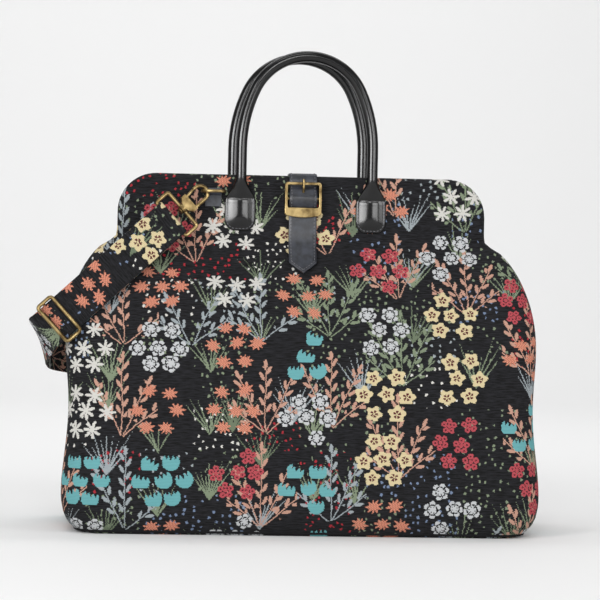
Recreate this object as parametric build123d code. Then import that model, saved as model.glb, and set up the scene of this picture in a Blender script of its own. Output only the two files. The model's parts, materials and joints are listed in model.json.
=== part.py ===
"""Carpet bag with a hinged mouth frame, rolled handles, a buckled closure strap and a clip-on shoulder strap.

Millimetres. Origin at the middle of the base, on the surface that the bag stands on.
+X is to the right as seen from the front, +Y goes to the back, +Z is up.
"""

import math
import os

from build123d import *

# Overall body, from the base to the mouth
BODY_WIDTH = 470.0
BASE_DEPTH = 196.0
MOUTH_DEPTH = 30.0
SHOULDER_Z = 236.0
RIM_Z = 289.5
PANEL_WALL = 3.0
BASE_WALL = 4.0
SEAM_INSET = 14.0
CORNER_R = 30.0
MOUTH_CORNER_R = 12.0

# Section stations: share of the rim height, share of the body width, share of the base depth
SECTION_SHARES = (
    (0.000, 0.915, 0.900),
    (0.035, 0.972, 0.990),
    (0.180, 1.000, 1.000),
    (0.520, 0.984, 0.800),
    (0.822, 0.966, 0.440),
)

# Stiffening board and lining inside
BOARD_THICK = 3.0
BOARD_GAP = 5.0
LINING_WALL = 1.0
LINING_GAP = 0.6

# Mouth frame, two hinged halves of steel tube in cloth sleeves
HINGE_Z = 297.0
FRAME_WIDTH = 358.0
FRAME_TOP_Z = 348.0
FRAME_CORNER_R = 32.0
TUBE_R = 4.0
SLEEVE_R = 6.4
SLEEVE_CLEAR = 0.15
JAW_GAP = 0.5
JAW_WEB = 3.2
JAW_FOOT_Z = 293.0
LUG_R = 7.0
LUG_THICK = 2.0
LUG_GAP = 0.3
RIVET_R = 2.6
RIVET_HEAD_R = 5.0
RIVET_HEAD = 1.6
RIVET_CLEAR = 0.05

# Rolled leather handles
HANDLE_R = 5.6
HANDLE_HALF_SPAN = 66.0
HANDLE_SHIFT = 3.0
HANDLE_TOP_Z = 474.0
HANDLE_SIDE_R = 140.0
HANDLE_SIDE_TURN = 25.0
HANDLE_GAP = 0.3
PADDLE_WIDTH = 31.0
PADDLE_FOOT_Z = 298.0
PADDLE_FOOT_R = 11.0
PADDLE_SHOULDER_Z = 331.0
PADDLE_THICK = 4.6
STEM_Z = 354.0

# Closure strap and centre-bar buckle
STRAP_WIDTH = 28.0
STRAP_THICK = 2.4
STRAP_TIP_Z = 257.0
STRAP_TIP_LENGTH = 11.0
STRAP_SEWN_Z = 304.0
STRAP_TAIL_OUT = 22.0
STRAP_BEND_R = 3.4
STRAP_HOLE_WIDTH = 4.2
STRAP_HOLE_LENGTH = 11.0
BUCKLE_WIDTH = 37.0
BUCKLE_TOP_Z = 348.0
BUCKLE_FOOT_Z = 315.0
BUCKLE_BAR = 2.8
BUCKLE_PLATE = 7.5
BUCKLE_BELLY = 2.5
BUCKLE_CORNER_R = 3.0
BUCKLE_EDGE_R = 0.7
BUCKLE_LIFT = 3.2
CENTRE_BAR_R = 1.5
TONGUE_R = 1.3
TONGUE_WALL = 1.0
TONGUE_EYE_WIDTH = 3.6
CHAPE_WIDTH = 20.0
CHAPE_THICK = 1.8
CHAPE_SLOT = 4.4
CHAPE_LENGTH = 15.0
FIT_GAP = 0.3

# Rings, clips and slider of the shoulder strap
D_RING_WIDTH = 22.0
D_RING_DEPTH = 16.0
D_RING_WIRE_R = 1.6
D_RING_BEND_R = 9.0
D_TAB_WIDTH = 16.0
D_TAB_LENGTH = 15.0
D_TAB_THICK = 1.6
CLIP_WIRE_R = 1.9
CLIP_LOOP_LENGTH = 25.0
CLIP_LOOP_WIDTH = 15.0
CLIP_BASE_LENGTH = 9.0
CLIP_POST_R = 2.2
CLIP_EYE_R = 4.6
CLIP_HEAD_R = 3.4
CLIP_HEAD = 1.6
CLIP_GAP = 0.4
CLIP_NOSE = 2.5
CLIP_BASE_THICK = 6.4
GATE_PIN_SETBACK = 1.0
GATE_R = 1.5
GATE_GAP = 0.5
GATE_PIN_R = 0.9
END_RING_WIDTH = 48.0
END_RING_LENGTH = 16.0
END_RING_WIRE_R = 1.9
END_RING_BEND_R = 2.4
SLIDER_WIDTH = 48.0
SLIDER_LENGTH = 18.0
SLIDER_WIRE_R = 1.9
SLIDER_BAR_R = 1.5
SLIDER_BEND_R = 3.0
SLIDER_EXIT = 6.0
WEB_WIDTH = 39.0
WEB_THICK = 2.2
WEB_GAP = 1.2

# Places of the two D-rings
FRONT_RING_X = -90.0
REAR_RING_X = 92.0
RING_Z = 337.0
STITCH_END = 26.0

# Shoulder strap places, as shares of half the body width, half the base depth and the rim height
SLIDER_SHARES = (-1.0285, -0.686, 0.7146)
REAR_END_SHARES = (0.313, 0.367, 0.946)

# Shoulder strap route after the slider: shares of a place as above, and the way that its width points
WEB_ROUTE_SHARES = (
    ((-1.079, -0.692, 0.677), (0.68, 0.00, -0.74)),
    ((-1.093, -0.598, 0.667), (0.68, 0.00, -0.74)),
    ((-1.102, -0.184, 0.636), (0.45, 0.00, -0.89)),
    ((-1.094, 0.255, 0.611), (0.20, 0.02, -0.98)),
    ((-1.038, 0.714, 0.587), (0.00, 0.00, -1.00)),
    ((-0.851, 1.061, 0.563), (-0.05, -0.10, -0.99)),
    ((-0.545, 1.153, 0.553), (0.00, -0.15, -0.99)),
    ((-0.230, 1.092, 0.580), (0.15, -0.25, -0.95)),
    ((0.060, 0.959, 0.663), (0.45, -0.28, -0.84)),
    ((0.238, 0.776, 0.788), (0.72, -0.20, -0.66)),
)


def body_stations():
    """Half width, half depth and height of each body section, ending at the rim."""
    stations = []
    for height_share, width_share, depth_share in SECTION_SHARES:
        half_width = BODY_WIDTH * width_share / 2
        half_depth = BASE_DEPTH * depth_share / 2
        stations.append((half_width, half_depth, RIM_Z * height_share))
    stations.append((FRAME_WIDTH / 2 + SLEEVE_R, MOUTH_DEPTH / 2, RIM_Z))
    return stations


def body_loft(inset):
    """Solid of the body's outer form, taken in by inset all round."""
    sections = Sketch()
    for half_width, half_depth, height in body_stations():
        depth_share = (half_depth - MOUTH_DEPTH / 2) / (BASE_DEPTH / 2 - MOUTH_DEPTH / 2)
        corner = MOUTH_CORNER_R + (CORNER_R - MOUTH_CORNER_R) * depth_share
        size = (2 * (half_width - inset), 2 * (half_depth - inset))
        sections += Pos(0, 0, height) * RectangleRounded(*size, max(corner - inset, PANEL_WALL))
    return loft(sections)


def half_space(low_z, high_z, low_y, high_y):
    """Box as wide as the whole bag between two heights and two depths."""
    return Pos(0, (low_y + high_y) / 2, (low_z + high_z) / 2) * Box(
        2 * BODY_WIDTH, high_y - low_y, high_z - low_z
    )


def make_body():
    """Tapestry panels of the body, cut at their seams, with the base, its board and the lining."""
    outer = body_loft(0)
    above_base = half_space(BASE_WALL, RIM_Z, -BASE_DEPTH, BASE_DEPTH)
    walls = (outer & above_base) - (body_loft(PANEL_WALL) & above_base)
    base = outer & half_space(0, BASE_WALL, -BASE_DEPTH, BASE_DEPTH)

    low_seam = BODY_WIDTH / 2 - SEAM_INSET
    mouth_seam = FRAME_WIDTH / 2 - SEAM_INSET / 2
    seam_outline = [
        (-low_seam, 0),
        (low_seam, 0),
        (low_seam, SHOULDER_Z),
        (mouth_seam, RIM_Z),
        (-mouth_seam, RIM_Z),
        (-low_seam, SHOULDER_Z),
    ]
    seam_face = make_face(Plane.XZ * Polyline(*seam_outline, close=True))
    between_seams = extrude(seam_face, BASE_DEPTH, both=True)
    side_box = Box(2 * BODY_WIDTH, 2 * BASE_DEPTH, 2 * RIM_Z)
    gussets = walls - between_seams
    panels = walls & between_seams

    board_top = BASE_WALL + BOARD_THICK
    board_inset = PANEL_WALL + BOARD_GAP
    foot_half_width, foot_half_depth, _ = body_stations()[0]
    board_size = (2 * (foot_half_width - board_inset), 2 * (foot_half_depth - board_inset))
    board = Pos(0, 0, BASE_WALL) * extrude(RectangleRounded(*board_size, CORNER_R / 2), BOARD_THICK)

    lining_inset = PANEL_WALL + LINING_GAP
    lining_foot = board_top + LINING_GAP
    lining_skin = body_loft(lining_inset) & half_space(lining_foot, RIM_Z, -BASE_DEPTH, BASE_DEPTH)
    lining_room = body_loft(lining_inset + LINING_WALL)
    lining_room &= half_space(lining_foot + LINING_WALL, RIM_Z, -BASE_DEPTH, BASE_DEPTH)
    return {
        "front_panel": panels & half_space(0, RIM_Z, -BASE_DEPTH, 0),
        "rear_panel": panels & half_space(0, RIM_Z, 0, BASE_DEPTH),
        "left_gusset": gussets & Pos(-BODY_WIDTH, 0, 0) * side_box,
        "right_gusset": gussets & Pos(BODY_WIDTH, 0, 0) * side_box,
        "base_panel": base,
        "base_board": board,
        "lining": lining_skin - lining_room,
    }


def jaw_path():
    """Centre line of one frame half in the XZ plane: up one leg, over the top and down the other."""
    half = FRAME_WIDTH / 2
    foot = HINGE_Z + LUG_R
    corners = [(-half, foot), (-half, FRAME_TOP_Z), (half, FRAME_TOP_Z), (half, foot)]
    return Plane.XZ * FilletPolyline(*corners, radius=FRAME_CORNER_R)


def jaw_offset():
    """Distance of each frame half's centre plane from the hinge axis."""
    return JAW_GAP / 2 + SLEEVE_R


def tube_along(path, radius):
    """Round bar of the given radius along a path."""
    return sweep((path ^ 0) * Circle(radius), path=path)


def make_frame_half(side, lug_slot):
    """Bent steel tube with a pierced lug at each foot. lug_slot 0 lies outermost on the hinge pin."""
    centre_y = side * jaw_offset()
    tube = Pos(0, centre_y, 0) * tube_along(jaw_path(), TUBE_R)
    half = FRAME_WIDTH / 2
    lugs = Part()
    for end in (-1, 1):
        outer_x = half + TUBE_R - lug_slot * (LUG_THICK + LUG_GAP)
        lug_x = end * (outer_x - LUG_THICK / 2)
        eye = Pos(0, HINGE_Z) * Circle(LUG_R)
        neck = make_face(
            Polyline(
                (side * -LUG_R, HINGE_Z),
                (side * LUG_R, HINGE_Z),
                (centre_y + side * TUBE_R, HINGE_Z + LUG_R),
                (centre_y + side * TUBE_R, HINGE_Z + 2 * LUG_R),
                (centre_y - side * TUBE_R, HINGE_Z + 2 * LUG_R),
                (centre_y - side * TUBE_R, HINGE_Z + LUG_R),
                close=True,
            )
        )
        plate = eye + neck - Pos(0, HINGE_Z) * Circle(RIVET_R + RIVET_CLEAR)
        lugs += Pos(lug_x - LUG_THICK / 2, 0, 0) * extrude(Plane.YZ * plate, LUG_THICK)
    return tube + lugs


def make_jaw_cover(side):
    """Cloth sleeve round one frame half, with the panel that closes the space inside it."""
    centre_y = side * jaw_offset()
    path = jaw_path()
    half = FRAME_WIDTH / 2
    sleeve = tube_along(path, SLEEVE_R)
    outline = make_face(
        Plane.XZ
        * FilletPolyline(
            (-half, JAW_FOOT_Z),
            (-half, FRAME_TOP_Z),
            (half, FRAME_TOP_Z),
            (half, JAW_FOOT_Z),
            radius=FRAME_CORNER_R,
            close=False,
        )
        + Plane.XZ * Line((half, JAW_FOOT_Z), (-half, JAW_FOOT_Z))
    )
    web = extrude(outline, JAW_WEB / 2, both=True)
    web = Pos(0, side * (SLEEVE_R - JAW_WEB / 2), 0) * web
    sleeve = sleeve + web - tube_along(path, TUBE_R + SLEEVE_CLEAR)
    lug_room = Part()
    for end in (-1, 1):
        room_x = end * (half + TUBE_R - LUG_THICK - LUG_GAP / 2)
        room_size = (2 * (LUG_THICK + LUG_GAP), 2 * SLEEVE_R, 2 * LUG_R)
        lug_room += Pos(room_x, -side * (SLEEVE_R - TUBE_R), HINGE_Z + LUG_R) * Box(*room_size)
    return Pos(0, centre_y, 0) * sleeve - Pos(0, centre_y, 0) * lug_room


def make_rivet(end):
    """Headed hinge pin through both lugs on one side."""
    outer_x = FRAME_WIDTH / 2 + TUBE_R + FIT_GAP
    inner_x = outer_x - 2 * (LUG_THICK + LUG_GAP) - FIT_GAP
    shank = extrude(Plane.YZ * Pos(0, HINGE_Z) * Circle(RIVET_R), outer_x - inner_x)
    head = extrude(Plane.YZ * Pos(0, HINGE_Z) * Circle(RIVET_HEAD_R), RIVET_HEAD)
    pin = Pos(inner_x, 0, 0) * shank + Pos(outer_x, 0, 0) * head
    pin += Pos(inner_x - RIVET_HEAD, 0, 0) * head
    return pin if end > 0 else mirror(pin, Plane.YZ)


def jaw_face():
    """Distance from the hinge axis to the outer face of a closed jaw."""
    return JAW_GAP / 2 + 2 * SLEEVE_R


def make_handle():
    """Front rolled handle: a round arch whose two ends flatten into sewn paddles. Centred on X 0."""
    turn = math.radians(HANDLE_SIDE_TURN)
    crown_r = (HANDLE_HALF_SPAN - HANDLE_SIDE_R * (1 - math.cos(turn))) / math.cos(turn)
    arch_height = HANDLE_SIDE_R * math.sin(turn) + crown_r * (1 - math.sin(turn))
    leg = Line((-HANDLE_HALF_SPAN, STEM_Z), (-HANDLE_HALF_SPAN, HANDLE_TOP_Z - arch_height))
    rise = JernArc(leg @ 1, leg % 1, HANDLE_SIDE_R, -HANDLE_SIDE_TURN)
    crown = JernArc(rise @ 1, rise % 1, crown_r, 2 * HANDLE_SIDE_TURN - 180)
    fall = JernArc(crown @ 1, crown % 1, HANDLE_SIDE_R, -HANDLE_SIDE_TURN)
    other_leg = Line(fall @ 1, (HANDLE_HALF_SPAN, STEM_Z))
    path = Plane.XZ * Wire([*leg.edges(), *rise.edges(), *crown.edges(), *fall.edges(), *other_leg.edges()])

    back_y = -(jaw_face() + HANDLE_GAP)
    handle = Pos(0, back_y - HANDLE_R, 0) * tube_along(path, HANDLE_R)
    foot_r = PADDLE_WIDTH / 2
    for end in (-1, 1):
        stem_place = Pos(end * HANDLE_HALF_SPAN, back_y - HANDLE_R, STEM_Z)
        flat_place = Pos(end * HANDLE_HALF_SPAN, back_y - PADDLE_THICK / 2, PADDLE_SHOULDER_Z)
        flare_ends = [stem_place * Circle(HANDLE_R), flat_place * Ellipse(foot_r, PADDLE_THICK / 2)]
        flare = loft(Sketch() + flare_ends)
        paddle_height = PADDLE_SHOULDER_Z - PADDLE_FOOT_Z
        tongue = Pos(0, PADDLE_FOOT_Z + paddle_height / 2) * Rectangle(PADDLE_WIDTH, paddle_height)
        tongue = fillet(tongue.vertices().group_by(Axis.Y)[0], PADDLE_FOOT_R)
        paddle = Pos(end * HANDLE_HALF_SPAN, back_y, 0) * extrude(Plane.XZ * tongue, PADDLE_THICK)
        paddle = fillet(paddle.faces().sort_by(Axis.Y)[0].edges(), PADDLE_THICK / 3)
        handle += [flare, paddle]
    return handle


def buckle_bar():
    """Depth and height of the buckle's centre bar."""
    chape_reach = CENTRE_BAR_R + FIT_GAP + CHAPE_THICK
    return -(jaw_face() + FIT_GAP + chape_reach), (BUCKLE_TOP_Z + BUCKLE_FOOT_Z) / 2


def strap_line():
    """Centre line of the closure strap in the YZ plane, from its sewn end on the rear jaw to its tip."""
    lie = jaw_face() + FIT_GAP + STRAP_THICK / 2
    over = FRAME_TOP_Z + SLEEVE_R + FIT_GAP + STRAP_THICK / 2
    bar_y, bar_z = buckle_bar()
    lifted = bar_y - CENTRE_BAR_R - CHAPE_THICK - 2 * FIT_GAP - STRAP_THICK / 2
    under_plate = jaw_face() + 2 * FIT_GAP + CHAPE_THICK + STRAP_THICK / 2
    rest = MOUTH_DEPTH / 2 + STRAP_THICK
    return [
        (lie, STRAP_SEWN_Z),
        (lie, over),
        (-lie, over),
        (-lie - FIT_GAP, BUCKLE_TOP_Z - BUCKLE_BAR),
        (lifted, bar_z + CENTRE_BAR_R),
        (lifted, bar_z - 2 * CENTRE_BAR_R),
        (-under_plate, BUCKLE_FOOT_Z + BUCKLE_PLATE),
        (-under_plate, BUCKLE_FOOT_Z),
        (-rest, RIM_Z),
        (-rest - STRAP_TAIL_OUT, STRAP_TIP_Z),
    ]


def make_closure_strap():
    """Leather strap sewn to the rear jaw, over the mouth and down through the buckle to a pointed tip."""
    profile = trace(FilletPolyline(*strap_line(), radius=STRAP_BEND_R), STRAP_THICK)
    ribbon = extrude(Plane.YZ * profile, STRAP_WIDTH / 2, both=True)
    half = STRAP_WIDTH / 2
    top = FRAME_TOP_Z + 2 * SLEEVE_R
    outline = [
        (-half, top),
        (half, top),
        (half, STRAP_TIP_Z + STRAP_TIP_LENGTH),
        (0, STRAP_TIP_Z),
        (-half, STRAP_TIP_Z + STRAP_TIP_LENGTH),
    ]
    pointed = extrude(make_face(Plane.XZ * Polyline(*outline, close=True)), BASE_DEPTH, both=True)
    hole = Plane.XZ * Pos(0, buckle_bar()[1] + CENTRE_BAR_R + STRAP_HOLE_LENGTH / 2)
    hole *= SlotOverall(STRAP_HOLE_LENGTH, STRAP_HOLE_WIDTH, rotation=90)
    return (ribbon & pointed) - extrude(hole, jaw_face() + BUCKLE_WIDTH)


def make_buckle_frame():
    """Brass centre-bar buckle with a wide, bellied lower bar."""
    bar_y, bar_z = buckle_bar()
    half = BUCKLE_WIDTH / 2
    back = bar_y + CENTRE_BAR_R
    front = bar_y - CENTRE_BAR_R - BUCKLE_LIFT
    left_foot = (-half, BUCKLE_FOOT_Z)
    right_foot = (half, BUCKLE_FOOT_Z)
    belly = ThreePointArc(left_foot, (0, BUCKLE_FOOT_Z - BUCKLE_BELLY), right_foot)
    sides = Polyline(right_foot, (half, BUCKLE_TOP_Z), (-half, BUCKLE_TOP_Z), left_foot)
    outline = make_face([*belly.edges(), *sides.edges()])
    outer = Plane.XZ * fillet(outline.vertices(), BUCKLE_CORNER_R)
    window_height = BUCKLE_TOP_Z - BUCKLE_BAR - BUCKLE_FOOT_Z - BUCKLE_PLATE
    window_z = BUCKLE_FOOT_Z + BUCKLE_PLATE + window_height / 2
    window = Plane.XZ * Pos(0, window_z) * RectangleRounded(
        BUCKLE_WIDTH - 2 * BUCKLE_BAR, window_height, BUCKLE_BAR / 2
    )
    ring = Pos(0, back, 0) * extrude(outer - window, back - front)
    behind_bars = half_space(0, 2 * BUCKLE_TOP_Z, front + BUCKLE_BAR, back)
    behind_bars &= Box(BUCKLE_WIDTH - 2 * BUCKLE_BAR, 2 * BASE_DEPTH, 4 * BUCKLE_TOP_Z)
    ring -= behind_bars
    ring = fillet(ring.faces().sort_by(Axis.Y)[0].edges(), BUCKLE_EDGE_R)
    bar = Plane.YZ * Pos(bar_y, bar_z) * Circle(CENTRE_BAR_R)
    return ring + extrude(bar, half - BUCKLE_BAR / 2, both=True)


def make_buckle_tongue():
    """Pin that turns on the centre bar, passes through the strap's slot and rests on the top bar."""
    bar_y, bar_z = buckle_bar()
    front = bar_y - CENTRE_BAR_R - BUCKLE_LIFT
    tip_y = front - FIT_GAP - TONGUE_R
    collar = Circle(CENTRE_BAR_R + RIVET_CLEAR + TONGUE_WALL) - Circle(CENTRE_BAR_R + RIVET_CLEAR)
    eye = extrude(Plane.YZ * Pos(bar_y, bar_z) * collar, TONGUE_EYE_WIDTH / 2, both=True)
    start = Vector(0, bar_y, bar_z + CENTRE_BAR_R + RIVET_CLEAR + TONGUE_WALL / 2)
    knee = Vector(0, tip_y, BUCKLE_TOP_Z - 2 * BUCKLE_BAR)
    tip = Vector(0, tip_y, BUCKLE_TOP_Z + BUCKLE_BAR)
    pin = tube_along(FilletPolyline(start, knee, tip, radius=BUCKLE_BAR), TONGUE_R)
    return eye + pin


def loop_tab(bar_y, bar_z, bar_r, thick, width, length, slot):
    """Leather tab sewn to the front jaw by its leg, with an eye round a bar along X."""
    reach = bar_r + FIT_GAP
    leg_y = bar_y + reach + thick / 2
    profile = Pos(bar_y, bar_z) * Circle(reach + thick)
    profile += Pos(leg_y, bar_z - length / 2) * Rectangle(thick, length)
    profile -= Pos(bar_y, bar_z) * Circle(reach)
    tab = extrude(Plane.YZ * profile, width / 2, both=True)
    if slot:
        tab -= Pos(0, bar_y, bar_z) * Box(slot, 4 * reach, 4 * reach)
    return tab


def make_chape():
    """Leather tab that holds the buckle's centre bar on the front jaw, slotted for the pin."""
    bar_y, bar_z = buckle_bar()
    return loop_tab(bar_y, bar_z, CENTRE_BAR_R, CHAPE_THICK, CHAPE_WIDTH, CHAPE_LENGTH, CHAPE_SLOT)


def ring_bar():
    """Depth of a D-ring's straight bar from the hinge plane."""
    return jaw_face() + FIT_GAP + D_TAB_THICK + FIT_GAP + D_RING_WIRE_R


def make_d_ring():
    """Front D-ring lying level, with its straight bar along X and its bow to the front. Centred on X 0."""
    half = D_RING_WIDTH / 2
    bar_y = -ring_bar()
    corners = [(-half, bar_y), (-half, bar_y - D_RING_DEPTH), (half, bar_y - D_RING_DEPTH), (half, bar_y)]
    bow = tube_along(FilletPolyline(*corners, radius=D_RING_BEND_R), D_RING_WIRE_R)
    bar = extrude(Plane.YZ * Pos(bar_y, 0) * Circle(D_RING_WIRE_R), half + D_RING_WIRE_R, both=True)
    return Pos(0, 0, RING_Z) * (bow + bar)


def make_d_tab():
    """Leather tab that holds the front D-ring's bar on the jaw. Centred on X 0."""
    return loop_tab(-ring_bar(), RING_Z, D_RING_WIRE_R, D_TAB_THICK, D_TAB_WIDTH, D_TAB_LENGTH, 0)


def body_place(shares):
    """Point given as shares of half the body width, half the base depth and the rim height."""
    return Vector(shares[0] * BODY_WIDTH / 2, shares[1] * BASE_DEPTH / 2, shares[2] * RIM_Z)


def clip_plane(ring_x, hooked_end, side, aim_shares):
    """Plane of a clip: origin in the D-ring's side wire, X along the shoulder strap, Z away from the bag."""
    origin = Vector(
        ring_x + hooked_end * D_RING_WIDTH / 2,
        side * (ring_bar() + D_RING_DEPTH / 2),
        RING_Z,
    )
    along = (body_place(aim_shares) - origin).normalized()
    across = Vector(0, side, 0).cross(along).normalized()
    return Plane(origin=origin, x_dir=along, z_dir=along.cross(across))


def clip_crown():
    """Distance from the D-ring's wire back to the centre line of the clip's rounded end."""
    return -(D_RING_WIRE_R + FIT_GAP + CLIP_WIRE_R)


def post_start():
    """Distance from the D-ring's wire to the foot of the clip's swivel post."""
    return clip_crown() + CLIP_LOOP_LENGTH + CLIP_BASE_LENGTH / 2


def gate_pin():
    """Place of the gate's hinge pin in the clip's plane."""
    return clip_crown() + CLIP_LOOP_LENGTH - GATE_PIN_SETBACK, -CLIP_LOOP_WIDTH / 2 + GATE_R


def make_clip_hook():
    """Open oval hook with a solid root, the gate's pin and a headed swivel post."""
    half = CLIP_LOOP_WIDTH / 2
    top = clip_crown()
    root = top + CLIP_LOOP_LENGTH
    nose = top + half + CLIP_NOSE
    shank = Line((root, half), (top + half, half))
    crown = CenterArc((top + half, 0), half, 90, 180)
    lip = Line((top + half, -half), (nose, -half))
    hook = tube_along(Wire([*shank.edges(), *crown.edges(), *lip.edges()]), CLIP_WIRE_R)
    outline = [
        (root - CLIP_BASE_LENGTH / 2, half + CLIP_WIRE_R),
        (root, half + CLIP_WIRE_R),
        (post_start(), CLIP_EYE_R),
        (post_start(), -CLIP_EYE_R),
        (root, -half - CLIP_WIRE_R),
        (root - CLIP_BASE_LENGTH / 2, -half - CLIP_WIRE_R),
    ]
    block = extrude(make_face(Polyline(*outline, close=True)), CLIP_BASE_THICK / 2, both=True)
    pin_x, pin_y = gate_pin()
    slot = Box(4 * CLIP_WIRE_R, 4 * CLIP_WIRE_R, 2 * (GATE_R + GATE_GAP))
    block -= Pos(pin_x, pin_y, 0) * slot
    pin = extrude(Pos(pin_x, pin_y) * Circle(GATE_PIN_R), CLIP_BASE_THICK / 2, both=True)
    eye_length = 2 * END_RING_WIRE_R
    post_length = CLIP_GAP + eye_length + CLIP_GAP
    post = extrude(Plane.YZ * Circle(CLIP_POST_R), post_length)
    head = Pos(post_length, 0, 0) * extrude(Plane.YZ * Circle(CLIP_HEAD_R), CLIP_HEAD)
    return hook + block + pin + Pos(post_start(), 0, 0) * (post + head)


def make_clip_gate():
    """Sprung gate bar that closes the hook, turning on its pin."""
    pin_x, pin_y = gate_pin()
    half = CLIP_LOOP_WIDTH / 2
    nose = clip_crown() + half + CLIP_NOSE
    tip = (nose + GATE_GAP, -half, 0)
    start = (pin_x, pin_y, 0)
    bar = tube_along(Line(start, tip), GATE_R)
    eye = extrude(Pos(pin_x, pin_y) * Circle(2 * GATE_R), GATE_R, both=True)
    bore = extrude(Pos(pin_x, pin_y) * Circle(GATE_PIN_R + RIVET_CLEAR), 2 * GATE_R, both=True)
    return bar + eye - bore


def end_ring_bars():
    """Places along the strap of an end ring's swivel bar and of its strap bar."""
    near = post_start() + CLIP_GAP + END_RING_WIRE_R
    return near, near + END_RING_LENGTH


def make_end_ring():
    """Rectangular strap ring with the clip's swivel eye in its near bar."""
    near, far = end_ring_bars()
    half = END_RING_WIDTH / 2 - END_RING_WIRE_R
    corners = [(near, 0), (near, half), (far, half), (far, 0)]
    side = tube_along(FilletPolyline(*corners, radius=END_RING_BEND_R), END_RING_WIRE_R)
    ring = side + mirror(side, Plane.XZ)
    eye_length = 2 * END_RING_WIRE_R
    eye_place = Pos(near - END_RING_WIRE_R, 0, 0)
    ring += eye_place * extrude(Plane.YZ * Circle(CLIP_EYE_R), eye_length)
    bore = extrude(Plane.YZ * Circle(CLIP_POST_R + RIVET_CLEAR), 2 * eye_length, both=True)
    return ring - eye_place * bore


def layer_height():
    """Distance of each strap layer's middle from the clip's plane where the two lie together."""
    return (WEB_THICK + WEB_GAP) / 2


def front_clip_plane():
    """Plane of the front clip, aimed at the slider."""
    return clip_plane(FRONT_RING_X, -1, -1, SLIDER_SHARES)


def rear_clip_plane():
    """Plane of the rear clip, aimed at the sewn end of the strap."""
    return clip_plane(REAR_RING_X, 1, 1, REAR_END_SHARES)


def slider_bar():
    """Distance along the strap and height of the slider's centre bar, under both layers."""
    distance = (body_place(SLIDER_SHARES) - front_clip_plane().origin).length
    return distance, -layer_height() - WEB_THICK / 2 - FIT_GAP - SLIDER_BAR_R


def make_web_loop(upper_end, lower_end):
    """Strap end folded round an end ring's bar, with an upper and a lower layer of the given reach."""
    far = end_ring_bars()[1]
    wrap = END_RING_WIRE_R + FIT_GAP + WEB_THICK / 2
    low = layer_height()
    line = [
        (upper_end, low),
        (far + 4 * wrap, low),
        (far + wrap, wrap),
        (far - wrap, wrap),
        (far - wrap, -wrap),
        (far + wrap, -wrap),
        (far + 4 * wrap, -low),
        (lower_end, -low),
    ]
    return trace(FilletPolyline(*line, radius=wrap - FIT_GAP), WEB_THICK)


def make_front_loop():
    """Front end of the strap: the lower layer ends in an eye sewn round the slider's centre bar."""
    bar_x, bar_z = slider_bar()
    hole_r = SLIDER_BAR_R + FIT_GAP
    profile = make_web_loop(bar_x + SLIDER_EXIT, bar_x)
    profile += Pos(bar_x, bar_z) * Circle(hole_r + WEB_THICK)
    profile -= Pos(bar_x, bar_z) * Circle(hole_r)
    return extrude(Plane.XZ * profile, WEB_WIDTH / 2, both=True)


def make_rear_loop():
    """Rear end of the strap, folded back and sewn to itself."""
    reach = end_ring_bars()[1] + STITCH_END
    return extrude(Plane.XZ * make_web_loop(reach, reach), WEB_WIDTH / 2, both=True)


def make_slider():
    """Three-bar adjuster: two end bars above the strap and a sunk centre bar under its upper layer."""
    bar_x, bar_z = slider_bar()
    half_length = SLIDER_LENGTH / 2
    half_width = SLIDER_WIDTH / 2 - SLIDER_WIRE_R
    raised = layer_height() + WEB_THICK / 2 + FIT_GAP + SLIDER_WIRE_R
    corners = [(bar_x - half_length, 0, raised), (bar_x - half_length, half_width, raised)]
    corners += [(bar_x + half_length, half_width, raised), (bar_x + half_length, 0, raised)]
    side = tube_along(FilletPolyline(*corners, radius=SLIDER_BEND_R), SLIDER_WIRE_R)
    sunk = [
        (bar_x, -half_width, raised),
        (bar_x, -half_width, bar_z),
        (bar_x, half_width, bar_z),
        (bar_x, half_width, raised),
    ]
    centre = tube_along(FilletPolyline(*sunk, radius=SLIDER_BAR_R + FIT_GAP), SLIDER_BAR_R)
    return side + mirror(side, Plane.XZ) + centre


def web_section(origin, across, along):
    """Cross-section of the shoulder strap at a point of its route."""
    along = along.normalized()
    across = (across - along * across.dot(along)).normalized()
    return Plane(origin=origin, x_dir=across, z_dir=along) * Rectangle(WEB_WIDTH, WEB_THICK)


def make_shoulder_web(front, rear):
    """Long run of the shoulder strap, from the slider round the left side to the rear clip."""
    high = layer_height()
    start = front.from_local_coords((slider_bar()[0] + SLIDER_EXIT, 0, high))
    finish = rear.from_local_coords((end_ring_bars()[1] + STITCH_END, 0, high))
    route = [body_place(shares) for shares, _ in WEB_ROUTE_SHARES]
    widths = [Vector(*width) for _, width in WEB_ROUTE_SHARES]
    points = [start, *route, finish]
    alongs = [front.x_dir]
    for before, after in zip(points, points[2:]):
        alongs.append((after - before).normalized())
    alongs.append(-rear.x_dir)
    acrosses = [front.y_dir, *widths, -rear.y_dir]
    sections = Sketch()
    for origin, across, along in zip(points, acrosses, alongs):
        sections += web_section(origin, across, along)
    return loft(sections)


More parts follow.
